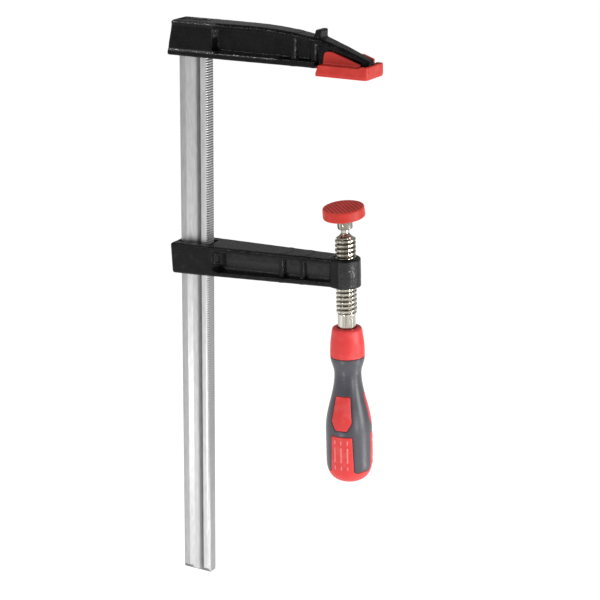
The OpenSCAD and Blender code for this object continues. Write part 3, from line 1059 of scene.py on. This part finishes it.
def build_pieces():
    casting, steel, nickel = black_casting(), rail_steel(), bright_steel()
    # The light colour is painted light on the pad's face, and the dark colour painted shade in its
    # grooves
    cap_red = red_plastic(
        "cap_plastic", (0.14, 0.008, 0.006), (0.51, 0.025, 0.016), (0.85, 0.09, 0.075), 0.45
    )
    # The light colour is the painted highlight on the raised marks
    handle_red = red_plastic(
        "handle_plastic", (0.24, 0.012, 0.012), (0.66, 0.042, 0.040), (0.78, 0.2, 0.2), 0.45
    )
    settle_piece(
        solid(
            "jaw_casting", jaw_field, (-18, -11, -1), (130, 11, 25), 0.4, RAIL_FRAME, jaw_shade
        ),
        casting, "frame", "black_casting", "fixed_jaw",
    )
    settle_piece(
        solid("jaw_cap", cap_field, (94, -13, -4.5), (132, 13, 12), 0.3, RAIL_FRAME),
        cap_red, "frame", "cap_plastic", "fixed_jaw_cap",
    )
    settle_piece(
        solid(
            "arm_casting", arm_field, (-15, -14, -12), (125, 14, 12), 0.45, ARM_FRAME, arm_shade
        ),
        casting, "arm", "black_casting", "sliding_arm",
    )
    rows, shade = rail_rows()
    settle_piece(
        sweep("rail_bar", rows, RAIL_FRAME, shade), steel, "frame", "rail_steel", "rail"
    )
    rows, shade = spindle_rows()
    settle_piece(
        sweep("spindle_screw", rows, SPINDLE_FRAME, shade),
        nickel, "screw", "bright_steel", "spindle",
    )
    settle_piece(
        turned("plate_disc", PLATE_SIDE, PAD_FRAME),
        nickel, "pad", "bright_steel", "pressure_plate",
    )
    settle_piece(
        solid(
            "pad_cap", pad_field, (-14.5, -14.5, 5), (14.5, 14.5, 13), 0.25, PAD_FRAME,
            pad_shade,
        ),
        cap_red, "pad", "cap_plastic", "pressure_plate_cap",
    )
    settle_piece(
        solid(
            "handle_red", core_field, (-16, -16, -110), (16, 16, 0.5), 0.33, HANDLE_FRAME,
            core_shade,
        ),
        handle_red, "screw", "handle_plastic", "handle_core",
    )
    settle_piece(
        solid("handle_grey", grip_field, (-16, -16, -110), (16, 16, -19), 0.42, HANDLE_FRAME),
        grip_rubber(), "screw", "grip_rubber", "handle_grip",
    )
    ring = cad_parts["ball_snap_ring"]
    put_on(ring, spring_steel())


# ---- studio ----

CAMERA_AZIMUTH = 27.26
CAMERA_ELEVATION = 17.65
CAMERA_ROLL = 0.643
CAMERA_DISTANCE = 1.136
CAMERA_LENS = 101.1
CAMERA_TARGET = Vector((-0.0332, 0, -0.1551))
# The floor lies below the handle when the arm is at the rail's lower end
FLOOR_DROP = 0.15
FLOOR_GLOW = 0.72
SKY_GLOW = 0.34
FLOOR_SIZE = 60


def towards(azimuth, elevation):
    """Unit vector from the part to a place seen at these angles."""
    a, e = math.radians(azimuth), math.radians(elevation)
    return Vector(
        (math.sin(a) * math.cos(e), -math.cos(a) * math.cos(e), math.sin(e))
    )


def make_camera():
    back = towards(CAMERA_AZIMUTH, CAMERA_ELEVATION)
    a, roll = math.radians(CAMERA_AZIMUTH), math.radians(CAMERA_ROLL)
    right = Vector((math.cos(a), math.sin(a), 0))
    up = back.cross(right)
    right, up = (
        math.cos(roll) * right + math.sin(roll) * up,
        math.cos(roll) * up - math.sin(roll) * right,
    )
    camera = bpy.data.objects.new("camera", bpy.data.cameras.new("camera"))
    camera.data.lens = CAMERA_LENS
    camera.data.clip_start, camera.data.clip_end = 0.01, 100
    camera.matrix_world = Matrix.Translation(
        CAMERA_TARGET + back * CAMERA_DISTANCE
    ) @ Matrix((right, up, back)).transposed().to_4x4()
    bpy.context.scene.collection.objects.link(camera)
    bpy.context.scene.camera = camera


def plain(name, colour, roughness):
    material, nodes, _ = new_material(name)
    shader = nodes["Principled BSDF"]
    shader.inputs["Base Color"].default_value = (*grey(colour), 1)
    shader.inputs["Roughness"].default_value = roughness
    shader.inputs["Specular IOR Level"].default_value = 0
    return material


def panel(name, place, facing, size, material):
    """Square stage panel that faces a point."""
    bpy.ops.mesh.primitive_plane_add(size=1)
    obj = bpy.context.object
    obj.name = name
    obj.scale = (size, size, 1)
    obj.location = place
    obj.rotation_mode = "QUATERNION"
    obj.rotation_quaternion = (Vector(facing) - Vector(place)).to_track_quat("Z", "Y")
    put_on(obj, material)
    return obj


def area_light(name, azimuth, elevation, distance, wide, high, power):
    """Rectangular light that faces the camera's target."""
    light = bpy.data.lights.new(name, "AREA")
    light.shape = "RECTANGLE"
    light.size, light.size_y, light.energy = wide, high, power
    obj = bpy.data.objects.new(name, light)
    way = towards(azimuth, elevation)
    obj.location = CAMERA_TARGET + way * distance
    obj.rotation_mode = "QUATERNION"
    obj.rotation_quaternion = way.to_track_quat("Z", "Y")
    bpy.context.scene.collection.objects.link(obj)


def make_studio():
    low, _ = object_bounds()
    floor = plain("floor_white", 0.85, 0.9)
    shader = floor.node_tree.nodes["Principled BSDF"]
    shader.inputs["Emission Color"].default_value = (1, 1, 1, 1)
    shader.inputs["Emission Strength"].default_value = FLOOR_GLOW
    panel("floor", (0, 0, low.z - FLOOR_DROP), (0, 0, 1), FLOOR_SIZE, floor)
    area_light("key", -28, 35, 1.5, 0.06, 0.15, 6)
    area_light("low_side", 66, -8, 0.9, 0.05, 0.07, 1.4)
    area_light("side", 96, 1, 0.9, 0.07, 0.42, 4)
    area_light("front_glow", -3, -34, 0.38, 0.03, 0.02, 0.15)
    area_light("side_glow", 105, -34, 0.38, 0.03, 0.02, 0.15)
    world = bpy.data.worlds.new("studio")
    world.use_nodes = True
    background = world.node_tree.nodes["Background"]
    background.inputs["Color"].default_value = (1, 1, 1, 1)
    background.inputs["Strength"].default_value = SKY_GLOW
    bpy.context.scene.world = world
    bpy.context.scene.view_settings.view_transform = "Standard"


build_pieces()
make_camera()
make_studio()
